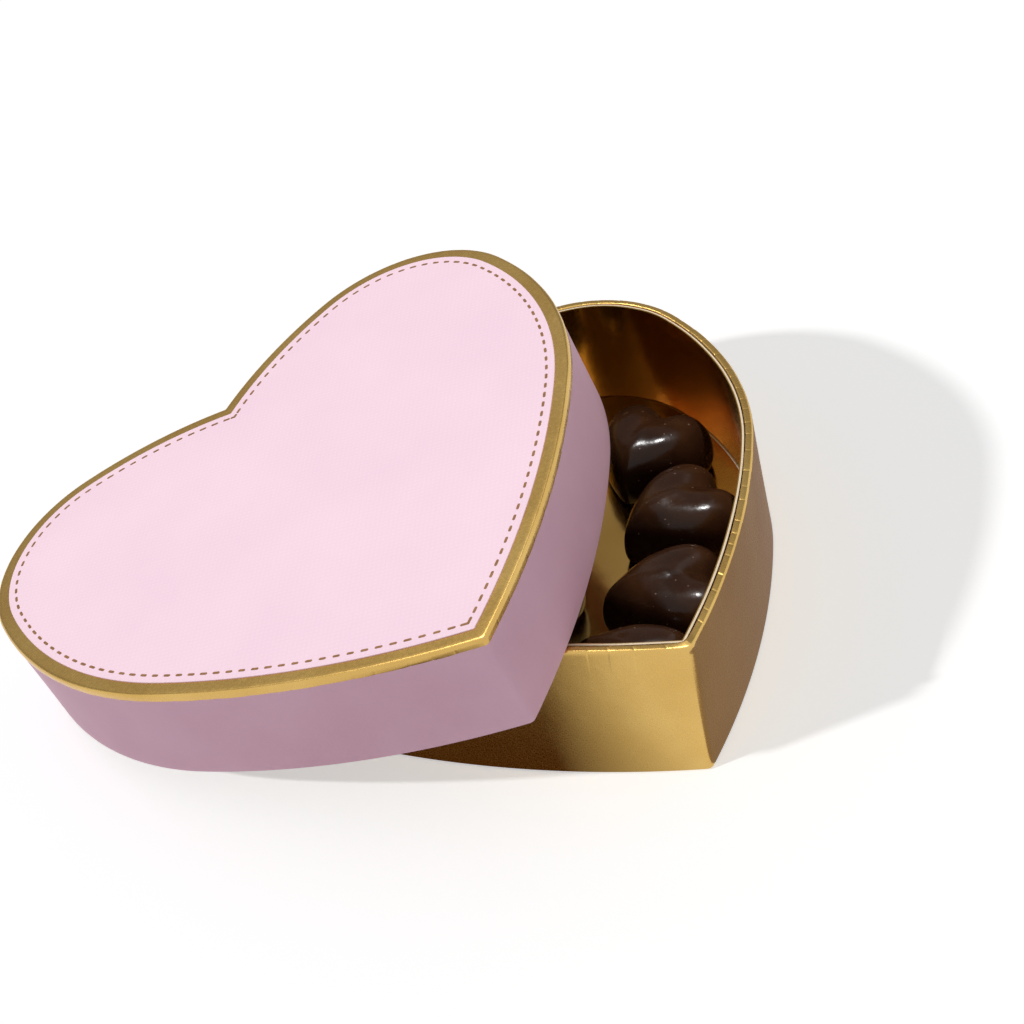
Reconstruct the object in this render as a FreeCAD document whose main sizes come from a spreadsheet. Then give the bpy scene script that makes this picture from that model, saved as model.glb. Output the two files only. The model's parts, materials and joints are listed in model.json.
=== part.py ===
import FreeCAD, Part
import math
import os

import Sketcher

# A heart-shaped gift box of rigid paperboard, open: the tray stands on the table with ten
# chocolate hearts in it, and the lift-off lid leans over its left half.
# Millimetres. The origin is on the table under the middle of the tray, the heart's tip is
# towards -Y, its cleft towards +Y, and +Z is up.

doc = FreeCAD.newDocument("HeartBox")
sheet = doc.addObject("Spreadsheet::Sheet", "Sizes")

sizes = [
    # the heart outline, taken at the outside of the lid
    ("heart_width", 165.0, "widest size across both lobes"),
    ("tip_half_angle", 57.9, "degrees from the centre line to a flank at the tip"),
    ("tip_flank_turn", 20.5, "degrees turned by the flank next to the tip"),
    ("hip_turn", 42.7, "degrees turned by the rounder upper flank"),
    ("lobe_turn", 91.1, "degrees turned by the top of a lobe"),
    ("tip_flank_ratio", 6.52, "radius of the flank over the radius of the lobe"),
    ("hip_ratio", 2.45, "radius of the upper flank over the radius of the lobe"),
    ("shoulder_ratio", 2.84, "radius down into the cleft over the radius of the lobe"),
    ("glue_line", 0.06, "between a curved board and the paper on it"),
    # the lid
    ("lid_height", 29.0, "lower edge to gold top"),
    ("lid_board", 1.5, "greyboard of the lid"),
    ("lid_paper", 0.25, "covering and lining papers of the lid"),
    ("foil_turn", 2.2, "gold foil turned down over the lid's edge"),
    ("foil_seam", 0.05, "gap between the foil and the pink wall paper"),
    ("panel_inset", 3.7, "gold border left round the pink panel"),
    ("panel_thick", 0.3, "card of the pink panel"),
    ("wrap_turn_in", 12.0, "wall paper folded up inside the lid"),
    ("lid_clearance", 1.3, "closed lid to tray, all round at the tray's foot"),
    # the tray
    ("tray_height", 37.0, "table to rim"),
    ("tray_lean", 3.3, "rim further in than the foot, all round"),
    ("tray_board", 1.5, "greyboard of the tray wall and bottom"),
    ("tray_foil", 0.3, "gold paper round the tray"),
    ("foil_turn_in", 9.0, "gold paper folded over the rim and down inside"),
    ("liner_gap", 0.3, "dark gap between the wall and the liner"),
    ("liner_thick", 0.8, "gold card liner"),
    ("liner_drop", 0.2, "liner's top edge below the rim"),
    ("pad_thick", 0.8, "gold card floor pad"),
    ("pad_clearance", 0.4, "floor pad to liner"),
    ("sheet_inset", 2.0, "paper under the tray to the tray's outside"),
    # the chocolates
    ("chocolates_across", 4.60, "chocolates and their gaps that span the tray inside"),
    ("chocolate_gap", 1.0, "least gap between neighbours"),
    ("chocolate_height", 17.0, "floor pad to top"),
    ("chocolate_rest", 0.05, "air between a chocolate and the pad"),
    # where the open lid leans
    ("rest_clearance", 0.3, "lid to table and to the tray's rim"),
    ("notch_clearance", 0.35, "lid's cleft to the wall of the tray's left lobe"),
    ("notch_shift", 4.5, "lid's cleft to the right of that lobe's far end"),
    ("lid_yaw", 0.0, "degrees that the leaning lid is turned about its own normal"),
]
for row, (alias, value, note) in enumerate(sizes, start=1):
    sheet.set(f"A{row}", str(value))
    sheet.setAlias(f"A{row}", alias)
    sheet.set(f"B{row}", note)
doc.recompute()


def size(alias):
    return float(sheet.get(alias))


def cell(expression):
    """Writes each word of an expression that is a size as a reference to its cell."""
    aliases = {alias for alias, value, note in sizes}
    words = expression.split(" ")
    return " ".join(f"Sizes.{word}" if word in aliases else word for word in words)


# ---- heart outlines -------------------------------------------------------------------

# A half heart runs from the tip to the cleft through four arcs that meet tangentially and
# all turn left. Each arc is kept as centre, radius, first angle and last angle.

boxShape = dict(
    width=size("heart_width"),
    tipHalfAngle=size("tip_half_angle"),
    turns=(size("tip_flank_turn"), size("hip_turn"), size("lobe_turn")),
    ratios=(size("tip_flank_ratio"), size("hip_ratio"), 1.0, size("shoulder_ratio")),
)


def cleftAngle(centreX, radius):
    return math.acos(-centreX / radius)


def halfHeart(shape):
    """The right half's arcs, scaled to the width, with y = 0 halfway up the heart."""
    heading = math.radians(90.0 - shape["tipHalfAngle"])
    turns = [math.radians(turn) for turn in shape["turns"]]
    x = 0.0
    y = 0.0
    arcs = []
    for number, radius in enumerate(shape["ratios"]):
        centreX = x - radius * math.sin(heading)
        centreY = y + radius * math.cos(heading)
        first = heading - math.pi / 2
        last = first + turns[number] if number < len(turns) else cleftAngle(centreX, radius)
        arcs.append((centreX, centreY, radius, first, last))
        heading = last + math.pi / 2
        x = centreX + radius * math.cos(last)
        y = centreY + radius * math.sin(last)
    hip = arcs[1]
    lobe = arcs[2]
    widest = hip if hip[4] > 0 else lobe
    scale = shape["width"] / 2 / (widest[0] + widest[2])
    middle = scale * (lobe[1] + lobe[2]) / 2
    return [(scale * cx, scale * cy - middle, scale * r, a, b) for cx, cy, r, a, b in arcs]


def heartArcs(shape, inset):
    """Both halves moved inwards by inset: the arcs keep their centres, and the first and
    last of each half are cut or carried on to the centre line."""
    right = []
    for number, (cx, cy, radius, first, last) in enumerate(halfHeart(shape)):
        radius -= inset
        if number == 0:
            first = -cleftAngle(cx, radius)
        if number == 3:
            last = cleftAngle(cx, radius)
        right.append((cx, cy, radius, first, last))
    left = [(-cx, cy, r, math.pi - b, math.pi - a) for cx, cy, r, a, b in reversed(right)]
    return right + left


def arcCurves(arcs, height=0.0):
    up = FreeCAD.Vector(0, 0, 1)
    return [
        Part.ArcOfCircle(Part.Circle(FreeCAD.Vector(cx, cy, height), up, r), a, b)
        for cx, cy, r, a, b in arcs
    ]


def heartWire(shape, inset, height=0.0):
    return Part.Wire([curve.toShape() for curve in arcCurves(heartArcs(shape, inset), height)])


# ---- bodies ---------------------------------------------------------------------------

subparts = []


def newBody(label, placement=None):
    body = doc.addObject("PartDesign::Body", label)
    body.Label = label
    if placement:
        body.Placement = placement
    subparts.append(body)
    return body


def heartSketch(body, name, shape, insets, level):
    """A sketch of one heart, or of two for a ring, at a height above the body's XY plane."""
    sketch = body.newObject("Sketcher::SketchObject", name)
    plane = [part for part in body.Origin.OriginFeatures if part.Role == "XY_Plane"][0]
    sketch.AttachmentSupport = [(plane, "")]
    sketch.MapMode = "FlatFace"
    sketch.setExpression("AttachmentOffset.Base.z", cell(level))
    for inset in insets:
        for curve in arcCurves(heartArcs(shape, inset)):
            sketch.addConstraint(Sketcher.Constraint("Block", sketch.addGeometry(curve, False)))
    return sketch


def padHeart(body, name, insets, level, length):
    """A straight layer or ring of the box's heart."""
    pad = body.newObject("PartDesign::Pad", name)
    pad.Profile = heartSketch(body, name + "_outline", boxShape, insets, level)
    pad.setExpression("Length", cell(length))


def leanIn(height):
    """How far the tray's wall has come inwards at a height above the table."""
    return size("tray_lean") * height / size("tray_height")


def amount(expression):
    """The number that an expression of sizes and plain numbers gives."""
    total = 0.0
    for term in expression.replace(" mm", "").replace("- ", "+ -").split(" + "):
        word = term.lstrip("-")
        number = float(word) if word[0].isdigit() else size(word)
        total += -number if term.startswith("-") else number
    return total


def wallStrip(body, name, insets, bottom, top):
    """A ring that leans in with the tray's wall, between two heights above the table."""
    outlines = []
    for end, level in (("foot", bottom), ("head", top)):
        leaning = [inset + leanIn(amount(level)) for inset in insets]
        outlines.append(heartSketch(body, f"{name}_{end}", boxShape, leaning, level))
    loft = body.newObject("PartDesign::AdditiveLoft", name)
    loft.Profile = outlines[0]
    loft.Sections = outlines[1:]
    loft.Ruled = True


# ---- the tray -------------------------------------------------------------------------

# Depths inwards from the lid's outside, layer by layer.
glue = size("glue_line")
boardOut = size("lid_paper") + glue
boardIn = boardOut + size("lid_board")
liningOut = boardIn + glue
lidWall = liningOut + size("lid_paper")
trayOutside = lidWall + size("lid_clearance")
trayFoilBack = trayOutside + size("tray_foil")
trayBoardOut = trayFoilBack + glue
trayBoardIn = trayBoardOut + size("tray_board")
foldBack = trayBoardIn + glue
trayFoilIn = foldBack + size("tray_foil")
linerOut = trayFoilIn + size("liner_gap")
linerIn = linerOut + size("liner_thick")
padEdge = linerIn + size("pad_clearance")

boardTop = "tray_foil + tray_board"
underSheet = newBody("tray_under_sheet")
padHeart(underSheet, "sheet_layer", [trayOutside + size("sheet_inset")], "0 mm", "tray_foil")

bottomBoard = newBody("tray_bottom_board")
bottomEdge = trayBoardOut + leanIn(amount(boardTop))
padHeart(bottomBoard, "bottom_layer", [bottomEdge], "tray_foil", "tray_board")

wallBoard = newBody("tray_wall_board")
wallStrip(wallBoard, "wall_strip", [trayBoardOut, trayBoardIn], boardTop, "tray_height - tray_foil")

# Gold paper: up the outside, over the rim, down inside, and turned under the bottom edge.
goldWrap = newBody("tray_gold_wrap")
wallStrip(goldWrap, "outside", [trayOutside, trayFoilBack], "0 mm", "tray_height")
wallStrip(
    goldWrap,
    "rim_fold",
    [trayOutside, trayFoilIn],
    "tray_height - tray_foil",
    "tray_height",
)
wallStrip(
    goldWrap,
    "turned_in",
    [foldBack, trayFoilIn],
    "tray_height - foil_turn_in",
    "tray_height",
)
padHeart(
    goldWrap,
    "turned_under",
    [trayOutside + leanIn(size("tray_foil")), trayOutside + size("sheet_inset")],
    "0 mm",
    "tray_foil",
)

liner = newBody("tray_liner")
wallStrip(liner, "liner_strip", [linerOut, linerIn], boardTop, "tray_height - liner_drop")

floorPad = newBody("tray_floor_pad")
padTop = amount(boardTop) + size("pad_thick")
padHeart(floorPad, "pad_layer", [padEdge + leanIn(padTop)], boardTop, "pad_thick")

# ---- the leaning lid ------------------------------------------------------------------


def crossings(lean, rimTop):
    """Where the lid's lower edges pass over the tray's wall, and the lid's lowest point."""
    lowerEdges = [heartWire(boxShape, depth) for depth in (0.0, lidWall)]
    for wire in lowerEdges:
        wire.Placement = lean
    outsideEdge = lowerEdges[0].discretize(Distance=1.0)
    lowest = min(outsideEdge, key=lambda point: point.z)
    tall = FreeCAD.Vector(0, 0, 4 * rimTop)
    rimDepths = [depth + leanIn(rimTop) for depth in (trayOutside, linerIn)]
    walls = [heartWire(boxShape, depth, -rimTop).extrude(tall) for depth in rimDepths]
    points = []
    for wire in lowerEdges:
        for wall in walls:
            points += [vertex.Point for vertex in wire.section(wall).Vertexes]
    front = min((p for p in points if p.y < 0), key=lambda point: point.z)
    rear = min((p for p in points if p.y > 0 and p.x > 0), key=lambda point: point.z)
    return lowest, front, rear


def solvePlane(points, rises):
    """The a, b, c for which a + b x + c y gives each point its rise."""
    (x0, y0), (x1, y1), (x2, y2) = [(p.x, p.y) for p in points]
    area = (x1 - x0) * (y2 - y0) - (x2 - x0) * (y1 - y0)
    d1 = rises[1] - rises[0]
    d2 = rises[2] - rises[0]
    b = (d1 * (y2 - y0) - d2 * (y1 - y0)) / area
    c = (d2 * (x1 - x0) - d1 * (x2 - x0)) / area
    return rises[0] - b * x0 - c * y0, b, c


def leanLid():
    """The lid's placement: its cleft is hooked over the far end of the tray's left lobe, and
    it is let down until it rests on the table at one point and on the rim at two."""
    gap = size("rest_clearance")
    rimTop = size("tray_height")
    lobe = halfHeart(boxShape)[2]
    hookX = -lobe[0] + size("notch_shift")
    lobeRadius = lobe[2] - trayOutside - leanIn(rimTop / 2)
    hookY = lobe[1] + math.sqrt(lobeRadius**2 - size("notch_shift") ** 2) + size("notch_clearance")
    cleft = heartArcs(boxShape, lidWall)[3]
    cleftY = cleft[1] + cleft[2] * math.sin(cleft[4])
    yaw = FreeCAD.Rotation(FreeCAD.Vector(0, 0, 1), size("lid_yaw"))
    slope = FreeCAD.Rotation(FreeCAD.Vector(0, 1, 0), -math.degrees(rimTop / size("heart_width")))
    lean = FreeCAD.Placement(FreeCAD.Vector(0, 0, rimTop), slope.multiply(yaw))
    for attempt in range(12):
        hook = lean.multVec(FreeCAD.Vector(0, cleftY, 0))
        lean.Base += FreeCAD.Vector(hookX - hook.x, hookY - hook.y, 0)
        points = crossings(lean, rimTop)
        rises = [target + gap - point.z for target, point in zip((0.0, rimTop, rimTop), points)]
        lift, alongX, alongY = solvePlane(points, rises)
        axis = FreeCAD.Vector(alongY, -alongX, 0)
        if max(abs(rise) for rise in rises) < 0.001:
            break
        turn = FreeCAD.Rotation(axis, math.degrees(axis.Length))
        lean = FreeCAD.Placement(FreeCAD.Vector(0, 0, lift), turn).multiply(lean)
    return lean


lean = leanLid()
lidUp = lean.Rotation.multVec(FreeCAD.Vector(0, 0, 1))
lidTopCentre = lean.multVec(FreeCAD.Vector(0, 0, size("lid_height")))
print("lid normal", [round(value, 5) for value in lidUp])
print("lid origin", [round(value, 4) for value in lean.Base])
print("lid top centre", [round(value, 3) for value in lidTopCentre])

topBoard = newBody("lid_top_board", lean)
padHeart(topBoard, "top_layer", [boardOut], "lid_height - lid_paper - lid_board", "lid_board")

lidWallBoard = newBody("lid_wall_board", lean)
padHeart(
    lidWallBoard,
    "wall_strip",
    [boardOut, boardIn],
    "lid_paper",
    "lid_height - 2 * lid_paper - lid_board",
)

goldTop = newBody("lid_gold_top", lean)
padHeart(goldTop, "gold_face", [0.0], "lid_height - lid_paper", "lid_paper")
padHeart(goldTop, "gold_edge", [0.0, size("lid_paper")], "lid_height - foil_turn", "foil_turn")

pinkWrap = newBody("lid_pink_wall", lean)
padHeart(pinkWrap, "outside", [0.0, size("lid_paper")], "0 mm", "lid_height - foil_turn - foil_seam")
padHeart(pinkWrap, "lower_fold", [0.0, lidWall], "0 mm", "lid_paper")
padHeart(pinkWrap, "turned_in", [liningOut, lidWall], "0 mm", "wrap_turn_in")

pinkPanel = newBody("lid_pink_panel", lean)
padHeart(pinkPanel, "panel_layer", [size("panel_inset")], "lid_height", "panel_thick")

topLining = newBody("lid_top_lining", lean)
padHeart(
    topLining,
    "lining_layer",
    [boardIn],
    "lid_height - 2 * lid_paper - lid_board",
    "lid_paper",
)

wallLining = newBody("lid_wall_lining", lean)
padHeart(
    wallLining,
    "lining_strip",
    [liningOut, lidWall],
    "wrap_turn_in",
    "lid_height - 2 * lid_paper - lid_board - wrap_turn_in",
)

# ---- the chocolates -------------------------------------------------------------------

# The liner's depth beside the chocolates' tops.
chocolateWall = linerIn + leanIn(padTop + size("chocolate_height"))
insideWidth = size("heart_width") - 2 * chocolateWall
chocolateWidth = insideWidth / size("chocolates_across") - size("chocolate_gap")
chocolateShape = dict(
    width=chocolateWidth,
    tipHalfAngle=58.0,
    turns=(22.0, 44.0, 102.0),
    ratios=(5.6, 2.2, 1.0, 1.8),
)

# A chocolate's sections: height as a share of the whole height, width as a share of the widest.
sections = [(0.0, 0.93), (0.14, 1.0), (0.46, 0.98), (0.72, 0.90), (0.90, 0.76), (1.0, 0.55)]

# Places as shares of the tray's half width inside, and the turn of the cleft from +X.
places = [
    (0.695, 0.346, 28.0),
    (0.572, -0.035, -4.0),
    (0.291, -0.370, -27.0),
    (-0.034, -0.586, -60.0),
    (-0.359, -0.302, 205.0),
    (-0.630, 0.042, 186.0),
    (-0.715, 0.445, 160.0),
    (-0.256, 0.485, 100.0),
    (0.229, 0.485, 80.0),
    (-0.091, 0.035, 268.0),
]
insideHalf = size("heart_width") / 2 - chocolateWall

for number, (shareX, shareY, turn) in enumerate(places, start=1):
    foot = FreeCAD.Vector(shareX * insideHalf, shareY * insideHalf, padTop + size("chocolate_rest"))
    facing = FreeCAD.Rotation(FreeCAD.Vector(0, 0, 1), turn - 90.0)
    chocolate = newBody(f"chocolate_{number:02d}", FreeCAD.Placement(foot, facing))
    outlines = []
    for level, (height, width) in enumerate(sections, start=1):
        section = dict(chocolateShape, width=width * chocolateWidth)
        name = f"level_{level}"
        outlines.append(heartSketch(chocolate, name, section, [0.0], f"{height} * chocolate_height"))
    loft = chocolate.newObject("PartDesign::AdditiveLoft", "puff")
    loft.Profile = outlines[0]
    loft.Sections = outlines[1:]
    loft.Ruled = True

doc.recompute()

# ---- check and write ------------------------------------------------------------------

for item in doc.Objects:
    if "Invalid" in item.State or "Error" in item.State:
        raise RuntimeError(f"{item.Label} failed: {item.State}")
os.makedirs("parts", exist_ok=True)
for body in subparts:
    if body.Shape.isNull() or not body.Shape.isValid():
        raise RuntimeError(f"{body.Label} has no valid shape")
for body in subparts:
    body.Shape.exportStep(f"parts/{body.Label}.step")
    box = body.Shape.BoundBox
    print(body.Label, round(body.Shape.Volume, 1), "solids", len(body.Shape.Solids),
          [round(v, 2) for v in (box.XMin, box.YMin, box.ZMin, box.XMax, box.YMax, box.ZMax)])
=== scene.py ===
import json
import math

import bpy
import numpy as np
from mathutils import Matrix, Vector

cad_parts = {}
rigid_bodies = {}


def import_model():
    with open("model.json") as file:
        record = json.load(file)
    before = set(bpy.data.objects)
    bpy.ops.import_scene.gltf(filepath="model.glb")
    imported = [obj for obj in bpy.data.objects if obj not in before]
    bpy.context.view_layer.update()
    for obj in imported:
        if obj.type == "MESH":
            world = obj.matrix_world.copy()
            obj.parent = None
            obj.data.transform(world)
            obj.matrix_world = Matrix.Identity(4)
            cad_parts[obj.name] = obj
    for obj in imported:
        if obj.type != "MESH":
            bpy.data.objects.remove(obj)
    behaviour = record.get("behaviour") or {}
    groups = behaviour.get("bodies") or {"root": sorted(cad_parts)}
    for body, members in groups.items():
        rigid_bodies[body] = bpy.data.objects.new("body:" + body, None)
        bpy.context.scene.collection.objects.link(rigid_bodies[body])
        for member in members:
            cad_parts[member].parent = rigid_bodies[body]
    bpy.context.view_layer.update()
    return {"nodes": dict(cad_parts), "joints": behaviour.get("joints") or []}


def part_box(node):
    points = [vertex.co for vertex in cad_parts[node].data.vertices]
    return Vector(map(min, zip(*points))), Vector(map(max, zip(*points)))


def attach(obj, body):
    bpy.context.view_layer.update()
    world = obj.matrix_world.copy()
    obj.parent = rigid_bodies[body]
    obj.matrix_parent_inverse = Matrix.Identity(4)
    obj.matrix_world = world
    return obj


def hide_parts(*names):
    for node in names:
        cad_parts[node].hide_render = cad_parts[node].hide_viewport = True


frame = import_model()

mm = 0.001
nodes = frame["nodes"]


# ---- heart outlines ----

boxHeart = dict(
    width=165.0,
    tipHalfAngle=57.9,
    turns=(20.5, 42.7, 91.1),
    ratios=(6.52, 2.45, 1.0, 2.84),
)
sweetHeart = dict(
    width=31.18,
    tipHalfAngle=58.0,
    turns=(22.0, 44.0, 102.0),
    ratios=(5.6, 2.2, 1.0, 1.8),
)


def halfHeart(heart):
    # Four arcs from the tip to the cleft, each tangent to the last and turning left by its own
    # angle. They are scaled so that the widest point is half the width out, and moved so that
    # y = 0 is halfway between the tip and the tops of the lobes.
    heading = math.radians(90 - heart["tipHalfAngle"])
    x = y = 0.0
    arcs = []
    for number, radius in enumerate(heart["ratios"]):
        centreX = x - radius * math.sin(heading)
        centreY = y + radius * math.cos(heading)
        first = heading - math.pi / 2
        if number < 3:
            last = first + math.radians(heart["turns"][number])
        else:
            last = math.acos(-centreX / radius)
        arcs.append((centreX, centreY, radius, first, last))
        heading = last + math.pi / 2
        x = centreX + radius * math.cos(last)
        y = centreY + radius * math.sin(last)
    arcs = np.array(arcs)
    widest = arcs[1] if arcs[1, 4] > 0 else arcs[2]
    scale = heart["width"] / 2 / (widest[0] + widest[2])
    arcs[:, :3] *= scale
    arcs[:, 1] -= (arcs[2, 1] + arcs[2, 2]) / 2
    return arcs


def heartRun(heart, insets, tipRound=0.2, cleftRound=0.2):
    # Ten arcs round the heart for each inset: a fillet at the tip, four up the right, a fillet in
    # the cleft, four down the left. An inset keeps the centres and shortens the radii; a fillet's
    # centre lies on the centre line, its own radius inside the flank or outside the shoulder.
    insets, tip, cleft = np.broadcast_arrays(
        np.atleast_1d(insets).astype(float), np.atleast_1d(tipRound), np.atleast_1d(cleftRound)
    )
    arcs = halfHeart(heart)
    rows = len(insets)
    centreX, centreY = (np.tile(arcs[:, k], (rows, 1)) for k in (0, 1))
    radius = arcs[:, 2] - insets[:, None]
    first, last = (np.tile(arcs[:, k], (rows, 1)) for k in (3, 4))
    tipY = centreY[:, 0] - np.sqrt((radius[:, 0] - tip) ** 2 - centreX[:, 0] ** 2)
    first[:, 0] = np.arctan2(tipY - centreY[:, 0], -centreX[:, 0])
    cleftY = centreY[:, 3] + np.sqrt((radius[:, 3] + cleft) ** 2 - centreX[:, 3] ** 2)
    last[:, 3] = np.arctan2(cleftY - centreY[:, 3], -centreX[:, 3])
    zero = np.zeros(rows)

    def join(tipValue, right, cleftValue, left):
        return np.column_stack((tipValue, right, cleftValue, left[:, ::-1]))

    return dict(
        x=join(zero, centreX, zero, -centreX),
        y=join(tipY, centreY, cleftY, centreY),
        radius=join(tip, radius, cleft, radius),
        first=join(-math.pi - first[:, 0], first, last[:, 3] - math.pi, math.pi - last),
        last=join(first[:, 0], last, -last[:, 3], math.pi - first),
        side=np.array([1, 1, 1, 1, 1, -1, 1, 1, 1, 1.0]),
    )


def runPoints(run, along):
    # Points and outward normals at places along the ten arcs: the whole part of a place is its
    # arc, the rest its share of that arc. Gives rows x places x 2 arrays.
    arc = np.minimum(along.astype(int), 9)
    angle = run["first"][:, arc] + (along - arc) * (run["last"] - run["first"])[:, arc]
    direction = np.stack((np.cos(angle), np.sin(angle)), -1)
    centre = np.stack((run["x"][:, arc], run["y"][:, arc]), -1)
    return centre + run["radius"][:, arc, None] * direction, direction * run["side"][arc, None]


def runLengths(heart, inset=0.0, tipRound=0.2, cleftRound=0.2):
    run = heartRun(heart, inset, tipRound, cleftRound)
    return np.concatenate(([0], np.cumsum(run["radius"][0] * np.abs(run["last"] - run["first"])[0])))


def evenPlaces(lengths, step, extra=()):
    # Places about a step apart on every arc, with more at the extra distances.
    parts = [
        arc + np.arange(n) / n
        for arc, n in enumerate(np.maximum(5, np.ceil(np.diff(lengths) / step)).astype(int))
    ]
    more = np.interp(np.asarray(extra) % lengths[-1], lengths, np.arange(11.0))
    places = np.sort(np.concatenate(parts + [more]))
    return places[np.concatenate(([True], np.diff(places) > 1e-4))]


def distances(places, lengths):
    return np.interp(places, np.arange(11.0), lengths)


def waves(s, length, seed, counts=(2, 3, 5, 8)):
    # A gentle random wave round a closed run: sines with whole numbers of periods, about -1 to 1.
    random = np.random.default_rng(seed)
    phases = random.uniform(0, 2 * math.pi, len(counts))
    heights = random.uniform(0.5, 1.0, len(counts))
    total = sum(h * np.sin(2 * math.pi * c * s / length + p) for c, h, p in zip(counts, heights, phases))
    return total / heights.sum()


def creasePlaces(length, least, most, seed):
    random = np.random.default_rng(seed)
    places = np.cumsum(random.uniform(least, most, int(2 * length / least)))
    return places[places < length - least / 2]


def nick(s, places, width, length):
    # 1 at each crease, falling off as a bell curve of that width.
    apart = np.abs(s[:, None] - places[None, :])
    apart = np.minimum(apart, length - apart)
    return np.exp(-((apart / width) ** 2)).max(axis=1)


# ---- meshes from grids ----


def surface(name, grid, material, closeRows=False, firstPole=None, lastPole=None, slots=None, uv=None):
    # A grid of points, rows x places round x 3 in millimetres, becomes quads that close round the
    # heart. Rows run up the outside, so that faces point outwards. closeRows joins the last row
    # to the first; a pole closes an end with a fan. slots gives a material number for each band.
    rows, columns = grid.shape[:2]
    points = [grid.reshape(-1, 3)]
    index = np.arange(rows * columns).reshape(rows, columns)
    low = index if closeRows else index[:-1]
    high = np.roll(index, -1, 0) if closeRows else index[1:]
    quads = np.stack((low, np.roll(low, -1, 1), np.roll(high, -1, 1), high), -1).reshape(-1, 4)
    band = np.repeat(np.arange(len(low)), columns)
    if uv is None:
        steps = np.linalg.norm(np.diff(grid[:, :1], axis=0), axis=2)[:, 0]
        up = np.concatenate(([0], np.cumsum(steps)))
        ring = np.append(grid[rows // 2], grid[rows // 2, :1], 0)
        round_ = np.concatenate(([0], np.cumsum(np.linalg.norm(np.diff(ring, axis=0), axis=1))))
        uv = np.stack(np.broadcast_arrays(round_[None, :], up[:, None]), -1)
    if closeRows:
        uv = np.concatenate((uv, uv[-1:] + [0, 1.0]), 0)
    corners = np.stack((uv[:-1, :-1], uv[:-1, 1:], uv[1:, 1:], uv[1:, :-1]), 2).reshape(-1, 4, 2)
    fans, fanUv, fanBand = [], [], []
    for pole, ring, turned, uvRow in ((firstPole, index[0], True, 0), (lastPole, index[-1], False, rows - 1)):
        if pole is None:
            continue
        centre = rows * columns + len(points) - 1
        points.append(np.array([pole[:3]], float))
        a, b = (np.roll(ring, -1), ring) if turned else (ring, np.roll(ring, -1))
        fans.append(np.stack((a, b, np.full(columns, centre)), -1))
        left, right = uv[uvRow, :-1], uv[uvRow, 1:]
        middle = np.broadcast_to(uv[uvRow].mean(0), left.shape)
        fanUv.append(np.stack((right, left, middle) if turned else (left, right, middle), 1))
        fanBand.append(np.full(columns, 0 if turned else len(low) - 1))
    triangles = np.concatenate(fans) if fans else np.zeros((0, 3), int)
    mesh = bpy.data.meshes.new(name)
    vertices = np.concatenate(points) * mm
    mesh.vertices.add(len(vertices))
    mesh.vertices.foreach_set("co", vertices.astype(np.float32).ravel())
    mesh.loops.add(quads.size + triangles.size)
    mesh.loops.foreach_set("vertex_index", np.concatenate((quads.ravel(), triangles.ravel())).astype(np.int32))
    totals = np.concatenate((np.full(len(quads), 4), np.full(len(triangles), 3)))
    mesh.polygons.add(len(totals))
    mesh.polygons.foreach_set("loop_start", (np.cumsum(totals) - totals).astype(np.int32))
    mesh.polygons.foreach_set("loop_total", totals.astype(np.int32))
    materials = material if isinstance(material, (list, tuple)) else [material]
    for each in materials:
        mesh.materials.append(each)
    if slots is not None:
        bands = np.concatenate([band] + fanBand)
        mesh.polygons.foreach_set("material_index", np.asarray(slots)[bands].astype(np.int32))
    layer = mesh.uv_layers.new(name="surface")
    flat = np.concatenate([corners.reshape(-1, 2)] + [part.reshape(-1, 2) for part in fanUv])
    layer.uv.foreach_set("vector", (flat * mm).astype(np.float32).ravel())
    mesh.update(calc_edges=True)
    mesh.validate()
    mesh.shade_smooth()
    mesh.set_sharp_from_angle(angle=math.radians(38))
    piece = bpy.data.objects.new(name, mesh)
    bpy.context.scene.collection.objects.link(piece)
    return piece


def carry(heart, profile, places, tipRound=0.2, cleftRound=0.2, push=0.0, lift=0.0):
    # A profile of (inset, height) rows carried round the heart; push moves points outwards along
    # the normal and lift moves them up, each a rows x places array or a number.
    insets, heights = np.array(profile, float).T
    run = heartRun(heart, insets, tipRound, cleftRound)
    points, normals = runPoints(run, places)
    points = points + normals * np.broadcast_to(push, points.shape[:2])[..., None]
    z = heights[:, None] + np.broadcast_to(lift, points.shape[:2])
    return np.concatenate((points, z[..., None]), -1)


def cornerArc(inset, height, radius, start, turn, count):
    # Rows round a corner of the profile: a quarter circle about its centre, from the outside (0
    # degrees) over the top (90) to the inside (180).
    angle = np.radians(start + turn * np.linspace(0, 1, count))
    return list(zip(inset - radius * np.cos(angle), height + radius * np.sin(angle)))


lidRest = dict(origin=(-40.6067, 11.5229, 25.7807), about=(-0.439058, -0.896950, 0.052052), degrees=15.46974)
lidTurn = np.array(Matrix.Rotation(math.radians(lidRest["degrees"]), 3, Vector(lidRest["about"])))
lidAxis = [joint["axis"] for joint in frame["joints"] if joint["name"] == "lid_lift"][0]
print("lid normal and its joint", np.round(lidTurn[:, 2], 4), np.round(lidAxis, 4))


def onLid(grid):
    # From the lid's own frame, with the lower edge at height 0, to where it leans.
    return grid @ lidTurn.T + np.array(lidRest["origin"])


# ---- materials ----


def newMaterial(name, **sockets):
    material = bpy.data.materials.new(name)
    material.use_nodes = True
    shader = material.node_tree.nodes["Principled BSDF"]
    for words, value in sockets.items():
        shader.inputs[words.replace("_", " ")].default_value = value
    return material, material.node_tree, shader


def coordinates(tree, kind="Object", scale=(1, 1, 1), turn=(0, 0, 0)):
    source = tree.nodes.new("ShaderNodeTexCoord")
    mapping = tree.nodes.new("ShaderNodeMapping")
    mapping.inputs["Scale"].default_value = scale
    mapping.inputs["Rotation"].default_value = turn
    tree.links.new(source.outputs[kind], mapping.inputs["Vector"])
    return mapping.outputs["Vector"]


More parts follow.
